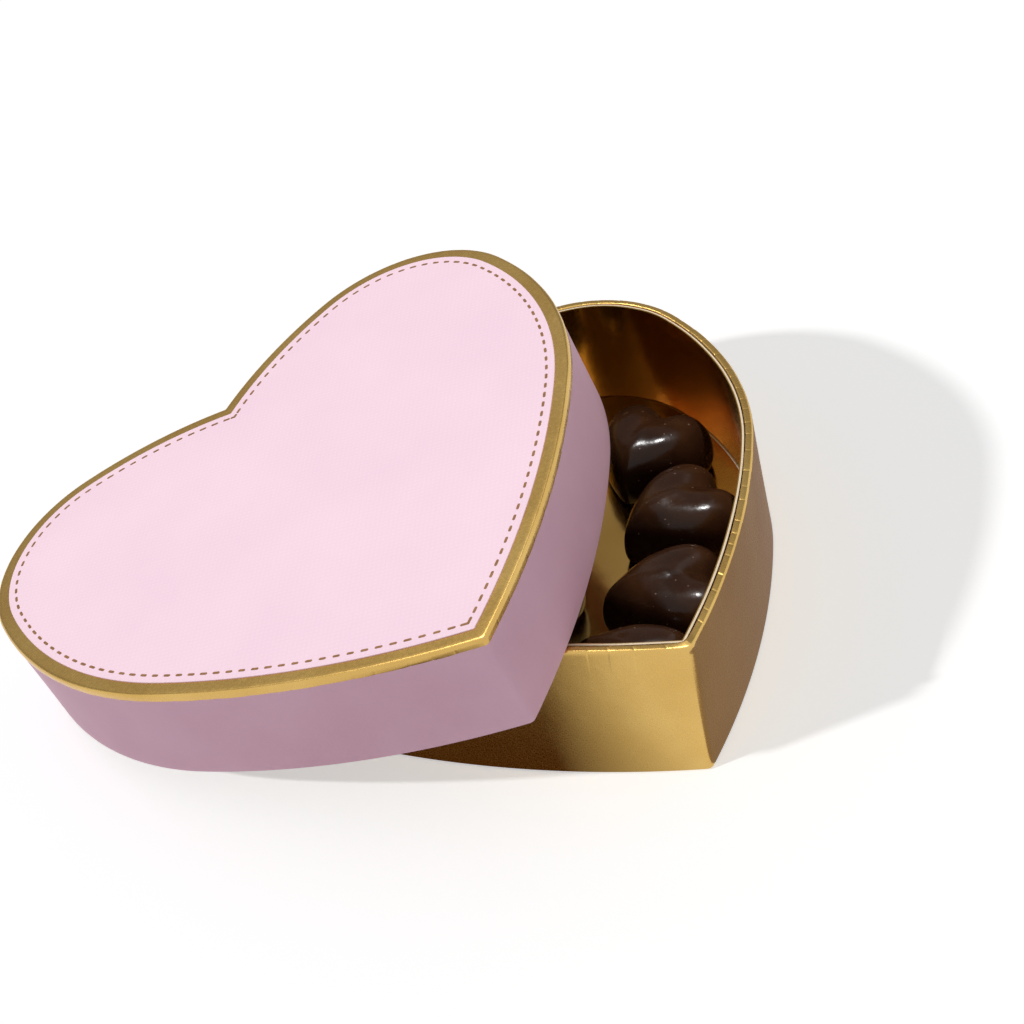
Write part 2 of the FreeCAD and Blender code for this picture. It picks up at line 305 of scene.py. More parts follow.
def noise(tree, where, perMillimetre, detail=2.0, roughness=0.5):
    node = tree.nodes.new("ShaderNodeTexNoise")
    node.inputs["Scale"].default_value = perMillimetre * 1000
    node.inputs["Detail"].default_value = detail
    node.inputs["Roughness"].default_value = roughness
    tree.links.new(where, node.inputs["Vector"])
    return node.outputs["Fac"]


def ramp(tree, value, low, high, start, end):
    # A value's share between low and high, as a number or a colour between start and end.
    if isinstance(start, (tuple, list)):
        node = tree.nodes.new("ShaderNodeValToRGB")
        node.color_ramp.elements[0].position = low
        node.color_ramp.elements[1].position = high
        node.color_ramp.elements[0].color = (*start, 1)
        node.color_ramp.elements[1].color = (*end, 1)
        tree.links.new(value, node.inputs["Fac"])
        return node.outputs["Color"]
    node = tree.nodes.new("ShaderNodeMapRange")
    for socket, number in (("From Min", low), ("From Max", high), ("To Min", start), ("To Max", end)):
        node.inputs[socket].default_value = number
    tree.links.new(value, node.inputs["Value"])
    return node.outputs["Result"]


def combine(tree, operation, a, b):
    node = tree.nodes.new("ShaderNodeMath")
    node.operation = operation
    for socket, value in zip(node.inputs, (a, b)):
        if isinstance(value, (int, float)):
            socket.default_value = value
        else:
            tree.links.new(value, socket)
    return node.outputs["Value"]


def tint(tree, colour, amount, over, blend="MULTIPLY"):
    # A colour laid over another by an amount from 0 to 1.
    node = tree.nodes.new("ShaderNodeMix")
    node.data_type = "RGBA"
    node.blend_type = blend
    factor, a, b = node.inputs["Factor"], node.inputs[6], node.inputs[7]
    for socket, value in ((factor, amount), (a, over), (b, colour)):
        if isinstance(value, (int, float)):
            socket.default_value = value
        elif isinstance(value, tuple):
            socket.default_value = (*value, 1)
        else:
            tree.links.new(value, socket)
    return node.outputs[2]


def bump(tree, shader, layers):
    # Relief from several heights, each with its depth in millimetres, added one on another.
    last = None
    for height, depth in layers:
        node = tree.nodes.new("ShaderNodeBump")
        node.inputs["Distance"].default_value = depth * mm
        node.inputs["Strength"].default_value = 1.0
        tree.links.new(height, node.inputs["Height"])
        if last is not None:
            tree.links.new(last, node.inputs["Normal"])
        last = node.outputs["Normal"]
    tree.links.new(last, shader.inputs["Normal"])


def pinkPaper():
    # Smooth pink covering paper: faint fibres and cloudy variation.
    look = dict(colour=(0.95, 0.575, 0.72), cloud=(0.91, 0.53, 0.68), fibre=0.012)
    material, tree, shader = newMaterial("pinkPaper", Roughness=0.55, Specular_IOR_Level=0.35, Sheen_Weight=0.08)
    where = coordinates(tree)
    cloudy = noise(tree, where, 0.05, 3)
    base = ramp(tree, cloudy, 0.35, 0.65, look["cloud"], look["colour"])
    fine = noise(tree, where, 1.6, 4, 0.6)
    speck = ramp(tree, fine, 0.3, 0.7, (0.965, 0.955, 0.96), (1.0, 1.0, 1.0))
    tree.links.new(tint(tree, speck, 1.0, base), shader.inputs["Base Color"])
    tree.links.new(ramp(tree, fine, 0.3, 0.7, 0.48, 0.62), shader.inputs["Roughness"])
    bump(tree, shader, [(fine, look["fibre"]), (noise(tree, where, 0.25, 2), 0.03)])
    return material


def pinkCard():
    # Pink card pressed with a fine crossed grain, with a few tiny darker specks.
    look = dict(colour=(0.955, 0.71, 0.805), cloud=(0.925, 0.675, 0.78), gap=0.62, depth=0.008)
    material, tree, shader = newMaterial("pinkCard", Roughness=0.6, Specular_IOR_Level=0.3, Sheen_Weight=0.1)
    where = coordinates(tree, "UV", turn=(0, 0, math.radians(38)))
    threads = []
    for direction in ("X", "Y"):
        wave = tree.nodes.new("ShaderNodeTexWave")
        wave.bands_direction = direction
        wave.inputs["Scale"].default_value = 1000 / look["gap"] / 20 * math.pi
        wave.inputs["Distortion"].default_value = 1.2
        wave.inputs["Detail"].default_value = 2.0
        wave.inputs["Detail Scale"].default_value = 1.5
        tree.links.new(where, wave.inputs["Vector"])
        threads.append(wave.outputs["Fac"])
    weave = combine(tree, "MULTIPLY", threads[0], threads[1])
    cloudy = noise(tree, where, 0.03, 3)
    base = ramp(tree, cloudy, 0.35, 0.65, look["cloud"], look["colour"])
    grain = ramp(tree, weave, 0.0, 0.6, (0.978, 0.968, 0.972), (1.0, 1.0, 1.0))
    base = tint(tree, grain, 1.0, base)
    fine = noise(tree, where, 2.2, 3, 0.6)
    base = tint(tree, ramp(tree, fine, 0.3, 0.7, (0.97, 0.965, 0.968), (1.0, 1.0, 1.0)), 1.0, base)
    specks = tree.nodes.new("ShaderNodeTexVoronoi")
    specks.inputs["Scale"].default_value = 90
    tree.links.new(where, specks.inputs["Vector"])
    spot = ramp(tree, specks.outputs["Distance"], 0.012, 0.022, 0.35, 0.0)
    tree.links.new(tint(tree, (0.80, 0.50, 0.58), spot, base, "MIX"), shader.inputs["Base Color"])
    bump(tree, shader, [(weave, look["depth"]), (fine, 0.012)])
    return material


def goldFoil():
    # Satin gold foil on paper: the paper's fibres show through as a fine grain, with soft dents.
    look = dict(colour=(0.71, 0.47, 0.15), deep=(0.64, 0.405, 0.118))
    material, tree, shader = newMaterial("goldFoil", Metallic=1.0, Roughness=0.28)
    where = coordinates(tree)
    cloudy = noise(tree, where, 0.04, 3)
    fine = noise(tree, where, 1.3, 4, 0.6)
    base = ramp(tree, cloudy, 0.35, 0.65, look["deep"], look["colour"])
    base = tint(tree, ramp(tree, fine, 0.3, 0.7, (0.985, 0.98, 0.97), (1.0, 1.0, 1.0)), 1.0, base)
    tree.links.new(base, shader.inputs["Base Color"])
    tree.links.new(ramp(tree, fine, 0.3, 0.7, 0.25, 0.29), shader.inputs["Roughness"])
    bump(tree, shader, [(fine, 0.0005), (noise(tree, where, 0.30, 3), 0.014), (noise(tree, where, 0.10, 2), 0.09)])
    return material


def mirrorGold():
    # Mirror gold film on card: nearly flat, with a long faint ripple and hairlines.
    look = dict(colour=(0.72, 0.45, 0.135), deep=(0.64, 0.37, 0.095))
    material, tree, shader = newMaterial("mirrorGold", Metallic=1.0, Roughness=0.14)
    where = coordinates(tree)
    cloudy = noise(tree, where, 0.03, 3)
    fine = noise(tree, where, 1.5, 3, 0.6)
    tree.links.new(ramp(tree, cloudy, 0.35, 0.65, look["deep"], look["colour"]), shader.inputs["Base Color"])
    tree.links.new(ramp(tree, fine, 0.35, 0.7, 0.11, 0.20), shader.inputs["Roughness"])
    bump(tree, shader, [(fine, 0.003), (noise(tree, where, 0.08, 2), 0.12)])
    return material


def cutEdge():
    # The pale core that shows where foil paper or card is cut.
    material, tree, shader = newMaterial("cutEdge", Roughness=0.8, Specular_IOR_Level=0.2)
    where = coordinates(tree)
    fibres = noise(tree, where, 2.0, 4, 0.65)
    tree.links.new(ramp(tree, fibres, 0.3, 0.7, (0.72, 0.57, 0.38), (0.86, 0.73, 0.54)), shader.inputs["Base Color"])
    bump(tree, shader, [(fibres, 0.03)])
    return material


def stitchInk():
    # Gold-brown printed dashes, a little mottled.
    material, tree, shader = newMaterial("stitchInk", Metallic=0.35, Roughness=0.5)
    where = coordinates(tree)
    mottled = noise(tree, where, 1.2, 3)
    tree.links.new(ramp(tree, mottled, 0.3, 0.7, (0.20, 0.085, 0.025), (0.32, 0.155, 0.052)), shader.inputs["Base Color"])
    bump(tree, shader, [(noise(tree, where, 3.0, 2), 0.01)])
    return material


def greyBoard():
    # Bare recycled board: grey-brown with light and dark fibres.
    material, tree, shader = newMaterial("greyBoard", Roughness=0.9, Specular_IOR_Level=0.15)
    where = coordinates(tree)
    fibres = noise(tree, where, 1.1, 5, 0.7)
    tree.links.new(ramp(tree, fibres, 0.3, 0.7, (0.36, 0.32, 0.27), (0.60, 0.56, 0.50)), shader.inputs["Base Color"])
    bump(tree, shader, [(fibres, 0.08)])
    return material


def liningPaper():
    # Plain white uncoated paper with fine fibres.
    material, tree, shader = newMaterial("liningPaper", Roughness=0.85, Specular_IOR_Level=0.25)
    where = coordinates(tree)
    fibres = noise(tree, where, 1.5, 5, 0.65)
    cloudy = noise(tree, where, 0.06, 2)
    base = ramp(tree, cloudy, 0.3, 0.7, (0.83, 0.81, 0.77), (0.88, 0.86, 0.83))
    tree.links.new(tint(tree, ramp(tree, fibres, 0.3, 0.7, (0.93, 0.93, 0.92), (1.0, 1.0, 1.0)), 1.0, base), shader.inputs["Base Color"])
    bump(tree, shader, [(fibres, 0.02)])
    return material


def darkChocolate():
    # Glossy moulded dark chocolate: a film that varies in gloss, warm thin spots, tiny bubbles
    # and crumbs.
    look = dict(colour=(0.019, 0.0070, 0.0033), warm=(0.036, 0.0135, 0.0055))
    material, tree, shader = newMaterial("darkChocolate", Roughness=0.2, IOR=1.45, Specular_IOR_Level=0.19)
    where = coordinates(tree)
    cloudy = noise(tree, where, 0.09, 3)
    base = ramp(tree, cloudy, 0.35, 0.70, look["colour"], look["warm"])
    bubbles = tree.nodes.new("ShaderNodeTexVoronoi")
    bubbles.inputs["Scale"].default_value = 330
    tree.links.new(where, bubbles.inputs["Vector"])
    crumb = ramp(tree, bubbles.outputs["Distance"], 0.06, 0.10, 1.0, 0.0)
    tree.links.new(tint(tree, (0.16, 0.10, 0.065), combine(tree, "MULTIPLY", crumb, 0.7), base, "MIX"), shader.inputs["Base Color"])
    smear = noise(tree, where, 0.16, 4, 0.6)
    tree.links.new(ramp(tree, smear, 0.35, 0.7, 0.13, 0.30), shader.inputs["Roughness"])
    bump(tree, shader, [(noise(tree, where, 0.22, 3, 0.55), 0.10), (crumb, 0.05), (noise(tree, where, 1.4, 2), 0.006)])
    return material


paint = dict(
    pinkPaper=pinkPaper(),
    pinkCard=pinkCard(),
    goldFoil=goldFoil(),
    mirrorGold=mirrorGold(),
    cutEdge=cutEdge(),
    stitchInk=stitchInk(),
    greyBoard=greyBoard(),
    liningPaper=liningPaper(),
    darkChocolate=darkChocolate(),
)
cadFinish = dict(
    tray_under_sheet="liningPaper",
    tray_bottom_board="greyBoard",
    tray_wall_board="greyBoard",
    tray_floor_pad="mirrorGold",
    lid_top_board="greyBoard",
    lid_wall_board="greyBoard",
    lid_top_lining="liningPaper",
    lid_wall_lining="liningPaper",
)
for node, finish in cadFinish.items():
    mesh = nodes[node].data
    mesh.materials.clear()
    mesh.materials.append(paint[finish])
print("materials made")


# ---- the lid ----


def goldTop():
    # Gold paper on the lid's top, turned down over its edge. The lower edge is cut in short
    # straight runs with a nick between them, and shows its pale core.
    sizes = dict(out=-0.10, back=0.03, low=26.8, top=29.0, under=28.72, round=0.95, reach=9.0, cut=0.03)
    lengths = runLengths(boxHeart)
    nicks = creasePlaces(lengths[-1], 5.0, 9.5, 11)
    near = (nicks[:, None] + np.array([-0.5, -0.25, 0, 0.25, 0.5])).ravel()
    places = evenPlaces(lengths, 1.6, near)
    s = distances(places, lengths)
    out, top, radius = sizes["out"], sizes["top"], sizes["round"]
    profile = [(sizes["reach"], sizes["under"]), (1.2, sizes["under"]), (sizes["back"], 27.9)]
    profile += [(sizes["back"], sizes["low"]), (out + 0.02, sizes["low"] + sizes["cut"])]
    profile += [(out, sizes["low"] + 0.35), (out, 27.6)]
    profile += cornerArc(out + radius, top - radius, radius, 0, 90, 9)
    profile += [(1.6, top), (2.6, top), (3.4, top), (sizes["reach"], top)]
    heights = np.array(profile)[:, 1]
    rows = len(profile)
    run = np.searchsorted(nicks, s) % len(nicks)
    ends = np.concatenate((nicks[-1:] - lengths[-1], nicks, nicks[:1] + lengths[-1]))
    spot = np.searchsorted(nicks, s)
    share = (s - ends[spot]) / (ends[spot + 1] - ends[spot])
    steps = np.random.default_rng(5).uniform(-0.09, 0.09, len(nicks))[run]
    edge = 0.07 * (2 * share - 1) ** 2 + steps
    sharp = nick(s, nicks, 0.28, lengths[-1])
    lift = np.zeros((rows, len(s)))
    push = np.zeros((rows, len(s)))
    lift[3:6] = edge
    lift[6] = 0.4 * edge
    push[4:7] = 0.04 * steps - 0.05 * sharp
    push[7:12] = -0.03 * sharp + 0.04 * waves(s, lengths[-1], 3, (9, 17, 31))
    grid = carry(boxHeart, profile, places, tipRound=1.5, cleftRound=0.6, push=push, lift=lift)
    slots = np.zeros(rows - 1, int)
    slots[3] = 1
    piece = surface(
        "lid_gold_paper", onLid(grid), [paint["goldFoil"], paint["cutEdge"]],
        firstPole=onLid(np.array([0, -4, sizes["under"]])), lastPole=onLid(np.array([0, -4, top])), slots=slots,
    )
    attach(piece, "lid")
    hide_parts("lid_gold_top")


def pinkPanel():
    # The pink card on the gold: a thin slab with a softly rounded cut edge. Its face is the
    # outline drawn in towards a middle point ring by ring, with a very faint unevenness.
    sizes = dict(inset=3.7, low=29.0, top=29.3, round=0.14, wave=0.035, rings=26)
    lengths = runLengths(boxHeart)
    places = evenPlaces(lengths, 1.6)
    inset, top, radius = sizes["inset"], sizes["top"], sizes["round"]
    profile = [(inset + 0.3, sizes["low"]), (inset, sizes["low"])]
    profile += cornerArc(inset + radius, top - radius, radius, 0, 90, 5)
    edge = carry(boxHeart, profile, places, tipRound=0.35, cleftRound=0.3)
    middle = np.array([0.0, -4.0])
    shares = np.linspace(1, 0, sizes["rings"] + 1)[1:-1] ** 0.8
    rim = edge[-1, :, :2]
    rings = middle + shares[:, None, None] * (rim - middle)
    x, y = rings[..., 0], rings[..., 1]
    uneven = sizes["wave"] * (np.sin(x / 19 + 1) * np.sin(y / 23 + 2) + 0.6 * np.sin(x / 8.7 - y / 11 + 3))
    face = np.concatenate((rings, (top + uneven * (1 - shares[:, None] ** 8))[..., None]), -1)
    grid = np.concatenate((edge, face))
    flat = np.concatenate((grid, grid[:, :1]), 1)[..., :2]
    piece = surface(
        "lid_pink_card", onLid(grid), paint["pinkCard"], uv=flat,
        firstPole=onLid(np.array([0, -4, sizes["low"]])), lastPole=onLid(np.array([0, -4, top])),
    )
    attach(piece, "lid")
    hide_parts("lid_pink_panel")


def stitches():
    # Short round-ended dashes printed round the panel, with a bent one at the tip. One dash is a
    # ring of points (along, across); each is laid on the line inside the panel's edge at its own
    # distance, so that it bends with the line.
    sizes = dict(inset=3.7 + 2.2, pitch=3.62, long=1.95, wide=0.72, height=29.33, thick=0.05)
    lengths = runLengths(boxHeart, sizes["inset"])
    round_ = lengths[-1]
    tip = lengths[1] / 2
    cleft = (lengths[5] + lengths[6]) / 2
    half = cleft - tip
    count = int(round((half - 1.4) / sizes["pitch"]))
    pitch = (half - 1.0) / (count + 0.5)
    right = tip + pitch * (np.arange(count) + 1) + 0.4
    centres = np.concatenate((right, (2 * tip - right) % round_))
    angle = np.radians(np.concatenate((np.linspace(-90, 90, 6), np.linspace(90, 270, 6))))
    radius = sizes["wide"] / 2
    run = sizes["long"] / 2 - radius
    along = np.where(np.arange(12) < 6, run, -run) + radius * np.cos(angle)
    across = radius * np.sin(angle)
    random = np.random.default_rng(8)
    stretch = random.uniform(0.92, 1.08, len(centres))
    s = (centres[:, None] + along * stretch[:, None]) % round_
    places = np.interp(s.ravel(), lengths, np.arange(11.0))
    onLine, normals = runPoints(heartRun(boxHeart, sizes["inset"]), places)
    ring = (onLine[0] + normals[0] * np.tile(across, len(centres))[:, None]).reshape(len(centres), 12, 2)
    rings = [turn[::-1] if area < 0 else turn for turn, area in zip(ring, ringAreas(ring))]
    rings += [bentDash(sizes, -1), bentDash(sizes, 1)]
    points, faces = [], []
    for outline in rings:
        n, start = len(outline), len(points)
        for height, shrink in ((29.27, 1.0), (sizes["height"], 1.0)):
            points += [(p[0], p[1], height) for p in outline]
        faces.append([start + n + k for k in range(n)])
        faces.append([start + n - 1 - k for k in range(n)])
        faces += [[start + k, start + (k + 1) % n, start + n + (k + 1) % n, start + n + k] for k in range(n)]
    mesh = bpy.data.meshes.new("lid_stitches")
    mesh.from_pydata((onLid(np.array(points)) * mm).tolist(), [], faces)
    mesh.materials.append(paint["stitchInk"])
    mesh.update()
    piece = bpy.data.objects.new("lid_stitches", mesh)
    bpy.context.scene.collection.objects.link(piece)
    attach(piece, "lid")


def ringAreas(rings):
    x, y = rings[..., 0], rings[..., 1]
    return (x * np.roll(y, -1, 1) - y * np.roll(x, -1, 1)).sum(1)


def bentDash(sizes, end):
    # At the tip two short arms meet at the heart's own angle; in the cleft they are shorter.
    run = heartRun(boxHeart, sizes["inset"], 0.01, 0.01)
    middle = 0.5 if end < 0 else 5.5
    corner = runPoints(run, np.array([middle]))[0][0, 0]
    arm = 1.7 if end < 0 else 0.95
    near = 1.02 if end < 0 else 4.98
    beside = runPoints(run, np.array([near]))[0][0, 0]
    direction = (beside - corner) / np.linalg.norm(beside - corner)
    half = sizes["wide"] / 2
    square = np.array([direction[1], -direction[0]])
    mitre = half / max(0.2, abs(direction[0]))
    ends = corner + direction * arm
    right = [ends - square * half, ends + direction * half * 0.8, ends + square * half]
    sign = 1 if square[1] > 0 else -1
    top = corner + np.array([0, mitre])
    bottom = corner - np.array([0, mitre])
    if sign > 0:
        right = right[::-1]
    left = [np.array([-p[0], p[1]]) for p in right]
    outline = np.array([bottom] + right[::-1] + [top] + left)
    return outline if ringAreas(outline[None])[0] > 0 else outline[::-1]


def pinkWall():
    # The lid's wall paper: up the outside, rounded under the lower edge and turned up inside.
    # It bows by a hair between its edges and is softer at the tip towards the bottom.
    sizes = dict(out=0.06, top=27.5, inner=2.12, turn=12.0, bow=0.10)
    lengths = runLengths(boxHeart)
    places = evenPlaces(lengths, 1.8)
    s = distances(places, lengths)
    climb = np.linspace(0, 1, 13)
    outside = [(sizes["out"], 0.55 + (sizes["top"] - 0.55) * share) for share in climb]
    foot = [(2.12, 0.5), (2.06, 0.22), (1.8, 0.02), (1.3, 0.0), (0.65, 0.0), (0.30, 0.07), (0.12, 0.26)]
    profile = outside + [(0.30, sizes["top"]), (0.30, 0.27), (1.90, 0.27), (1.88, sizes["turn"]), (sizes["inner"], sizes["turn"])] + foot
    rows = len(profile)
    push = np.zeros((rows, len(s)))
    lift = np.zeros((rows, len(s)))
    shape = np.sin(math.pi * climb)[:, None]
    fade = 1 - np.exp(-((np.minimum(s, lengths[-1] - s) / 9) ** 2))
    push[:13] = -sizes["bow"] * shape * fade * (0.6 + 0.4 * waves(s, lengths[-1], 21, (3, 5, 9, 14))[None, :])
    tip = np.full(rows, 1.5)
    tip[:13] = 1.5 - 0.2 * climb
    tip[13:18] = 0.4
    lift[13 + 3 : 13 + 5] = 0.35 * waves(s, lengths[-1], 22, (7, 12, 19))
    grid = carry(boxHeart, profile, places, tipRound=tip, cleftRound=0.5, push=push, lift=lift)
    piece = surface("lid_pink_paper", onLid(grid), paint["pinkPaper"], closeRows=True)
    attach(piece, "lid")
    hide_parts("lid_pink_wall")


goldTop()
pinkPanel()
stitches()
pinkWall()
print("lid made")


# ---- the tray ----

trayWall = dict(height=37.0, lean=3.3, outside=3.42, foilBack=3.72, foldBack=5.34, foilIn=5.64, linerOut=5.94, linerIn=6.74)


def leaning(profile):
    # The tray's wall comes in by the lean between the table and the rim.
    return [(inset + trayWall["lean"] * z / trayWall["height"], z) for inset, z in profile]


def goldWall():
    # Gold paper up the outside, over the rim and down inside. The rim is pleated: a crease every
    # few millimetres, with a nearly flat run between creases that tips a little its own way.
    sizes = dict(round=0.62, fold=28.0, crease=0.05)
    lengths = runLengths(boxHeart, 5.0)
    creases = creasePlaces(lengths[-1], 4.2, 8.5, 31)
    near = (creases[:, None] + np.array([-0.55, -0.3, -0.12, 0.12, 0.3, 0.55])).ravel()
    places = evenPlaces(lengths, 1.7, near)
    s = distances(places, lengths)
    out, inner, top, radius = trayWall["outside"], trayWall["foilIn"], trayWall["height"], sizes["round"]
    climb = [0.45, 1.2, 3, 6, 9, 12, 15, 18, 21, 24, 27, 30, 32, 33.5, 34.6, 35.5]
    profile = [(out, z) for z in climb]
    profile += cornerArc(out + radius, top - radius, radius, 0, 90, 6)
    profile += [((out + inner) / 2, top - 0.03)]
    profile += cornerArc(inner - radius * 0.8, top - radius * 0.8, radius * 0.8, 90, 90, 6)
    inside = len(profile)
    profile += [(inner, 34.5), (inner, 31), (inner, sizes["fold"]), (trayWall["foldBack"], sizes["fold"])]
    profile += [(trayWall["foldBack"], 36.66), (trayWall["foilBack"] + 0.02, 36.66), (trayWall["foilBack"] + 0.02, 0.28)]
    profile = leaning(profile)
    profile += [(5.42, 0.28), (5.42, 0.0), (out + 0.55, 0.0), (out + 0.22, 0.06), (out + 0.06, 0.2)]
    rows = len(profile)
    heights = np.array(profile)[:, 1]
    length = lengths[-1]
    facet = np.searchsorted(creases, s) % len(creases)
    random = np.random.default_rng(32)
    outerTip, innerTip, bulge = (random.uniform(-1, 1, len(creases))[facet] for k in range(3))
    sharp = nick(s, creases, 0.22, length)
    wide = nick(s, creases, 0.7, length)
    nearTip = np.exp(-((np.minimum(s, length - s) / 2.2) ** 2))
    lift = np.zeros((rows, len(s)))
    push = np.zeros((rows, len(s)))
    upper = np.clip((heights[:16] - 30) / 5, 0, 1)[:, None]
    belly = np.sin(math.pi * heights[:16] / 37)[:, None] * (1 - np.exp(-((np.minimum(s, length - s) / 9) ** 2)))
    push[:16] = upper * 0.04 * bulge + 0.16 * belly * waves(s, length, 33, (2, 5, 9))
    rim = slice(16, inside)
    share = np.linspace(0, 1, inside - 16)[:, None]
    knot = nearTip * (1 + 0.6 * np.sin(s * 2.4))
    lift[rim] = -sizes["crease"] * sharp - 0.02 * wide + 0.07 * ((1 - share) * outerTip + share * innerTip) + 0.40 * knot
    push[rim] = (1 - 2 * share) * (0.04 * bulge - 0.03 * sharp) + (0.30 - 0.6 * share) * knot
    lift[inside : inside + 2] = 0.0
    lift[inside + 2 : inside + 4] = 0.8 * waves(s, length, 34, (6, 11, 23))
    tip = np.full(rows, 1.9)
    tip[16:inside] = np.linspace(1.7, 0.3, inside - 16)
    tip[inside : inside + 7] = 0.3
    tip[inside + 7 : inside + 9] = 0.5
    grid = carry(boxHeart, profile, places, tipRound=tip, cleftRound=0.6, push=push, lift=lift)
    slots = np.zeros(rows, int)
    slots[inside + 2] = 1
    piece = surface("tray_gold_paper", grid, [paint["goldFoil"], paint["cutEdge"]], closeRows=True, slots=slots)
    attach(piece, "tray")
    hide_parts("tray_gold_wrap")


def mirrorLiner():
    # A strip of mirror gold card stands inside the wall. Its cut top edge is pale and wavers a
    # little, up and down and away from the wall.
    sizes = dict(low=1.85, top=36.8, wander=0.12)
    lengths = runLengths(boxHeart, 8.0)
    places = evenPlaces(lengths, 1.6)
    s = distances(places, lengths)
    out, inner, low, top = trayWall["linerOut"], trayWall["linerIn"], sizes["low"], sizes["top"]
    climb = [low, 8, 15, 22, 28, 32, 35, top - 0.06]
    profile = [(out, z) for z in climb] + [(out + 0.1, top), (out + 0.5, top)]
    profile += [(inner, z) for z in climb[::-1]]
    profile = leaning(profile)
    heights = np.array(profile)[:, 1]
    rise = ((heights / 37) ** 3)[:, None]
    wander = 0.5 + 0.5 * waves(s, lengths[-1], 41, (4, 7, 11))
    push = rise * (0.17 - sizes["wander"] * wander)
    lift = 0.10 * (heights > 36)[:, None] * waves(s, lengths[-1], 42, (5, 9, 15, 27))
    grid = carry(boxHeart, profile, places, tipRound=0.25, cleftRound=0.8, push=push, lift=lift)
    slots = np.zeros(len(profile), int)
    slots[7:9] = 1
    piece = surface("tray_mirror_liner", grid, [paint["mirrorGold"], paint["cutEdge"]], closeRows=True, slots=slots)
    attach(piece, "tray")
    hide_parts("tray_liner")


goldWall()
mirrorLiner()
print("tray made")


# ---- the chocolates ----


def puffyHeart(number, turn, reach):
    # A moulded heart: rings of the heart's outline shrink towards a point on top as the height
    # follows share^a + height^b = 1, over a slightly drawn-in foot. A valley runs down from the
    # cleft and fades, a faint ridge goes on from it to the tip, and the skin swells unevenly.
    # reach draws the tip half out, as it is on the longer ones.
    sizes = dict(height=17.0, waist=0.30, a=4.0, b=2.1, foot=0.93, valley=1.7, ridge=0.5, skin=0.16)
    lengths = runLengths(sweetHeart, 0, 2.2, 1.3)
    places = evenPlaces(lengths, 0.9)
    outline = runPoints(heartRun(sweetHeart, 0.0, 2.2, 1.3), places)[0][0]
    middle = np.array([0.0, -0.6])
    height = sizes["height"]
    waist = sizes["waist"] * height
    under = np.array([(0.45, 0.0), (0.80, 0.0)])
    sweep = np.linspace(0, math.pi / 2, 7)
    side = np.stack((sizes["foot"] - 0.04 + (1.04 - sizes["foot"]) * np.sin(sweep), waist * (1 - np.cos(sweep))), -1)
    over = np.linspace(0, math.pi / 2, 30)[1:-1]
    crown = np.stack((np.cos(over) ** (2 / sizes["a"]), waist + (height - waist) * np.sin(over) ** (2 / sizes["b"])), -1)
    inner = crown[-1, 0] * np.linspace(1, 0, 12)[1:-1]
    cap = np.stack((inner, np.full(10, crown[-1, 1]) + (height - crown[-1, 1]) * (1 - inner / crown[-1, 0])), -1)
    profile = np.concatenate((under, side, crown, cap))
    share, z = profile[:, 0, None], profile[:, 1, None]
    longer = outline * np.stack((np.ones(len(outline)), np.where(outline[:, 1] < 0, 1 + reach, 1)), -1)
    flat = middle + share[..., None] * (longer - middle)
    x, y = flat[..., 0], flat[..., 1]
    top = np.clip((z - waist) / (height - waist), 0, 1)
    back = np.clip((y + 1.5) / 11.0, 0, 1)
    back = back**2 * (3 - 2 * back)
    dip = sizes["valley"] * back * np.exp(-((x / (2.0 + 2.2 * back)) ** 2)) * top
    ridge = sizes["ridge"] * (1 - back) * np.exp(-((x / 2.2) ** 2)) * np.clip((y + 13) / 8, 0, 1) * top
    random = np.random.default_rng(100 + number)
    p = random.uniform(0, 6.28, 8)
    skin = sizes["skin"] * (np.sin(x / 3.1 + p[0]) * np.sin(y / 2.7 + p[1]) + np.sin(x / 1.9 + z / 2.3 + p[2]) * 0.5)
    z = np.broadcast_to(z, x.shape) - dip + ridge + skin * top
    swell = 1 + 0.006 * np.sin(2 * math.pi * np.arange(len(places)) / len(places) * 3 + p[3]) * (profile[:, 1:] > 0.1)
    flat = middle + (flat - middle) * swell[..., None]
    turned = math.radians(turn - 90)
    spin = np.array([[math.cos(turned), -math.sin(turned)], [math.sin(turned), math.cos(turned)]])
    flat = flat @ spin.T
    placed = outline @ spin.T
    low, high = (np.array(corner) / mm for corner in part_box(f"chocolate_{number:02d}"))
    shift = (low + high)[:2] / 2 - (placed.min(0) + placed.max(0)) / 2
    grid = np.concatenate((flat + shift, (z + low[2])[..., None]), -1)
    centre = middle @ spin.T + shift
    peak = grid[-1, :, 2].mean()
    piece = surface(
        f"chocolate_heart_{number:02d}", grid, paint["darkChocolate"],
        firstPole=(*centre, low[2]), lastPole=(*centre, peak + 0.005),
    )
    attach(piece, f"chocolate_{number:02d}")
    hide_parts(f"chocolate_{number:02d}")


turns = (28.0, -4.0, -27.0, -60.0, 205.0, 186.0, 160.0, 100.0, 80.0, 268.0)  # cleft from +X
tipReach = (0.0, 0.13, 0.17, 0.0, 0.0, 0.0, 0.0, 0.0, 0.0, 0.0)  # how much longer the tip half is
for number, (turn, reach) in enumerate(zip(turns, tipReach), start=1):
    puffyHeart(number, turn, reach)
print("chocolates made")


# ---- floor, light and camera ----


def whiteWhereSeen(tree, strength):
    # 1 for what the camera sees directly, in a reflection or through glass, times a strength.
    path = tree.nodes.new("ShaderNodeLightPath")
    seen = combine(tree, "MAXIMUM", path.outputs["Is Camera Ray"], path.outputs["Is Glossy Ray"])
    seen = combine(tree, "MAXIMUM", seen, path.outputs["Is Transmission Ray"])
    return combine(tree, "MULTIPLY", seen, strength)


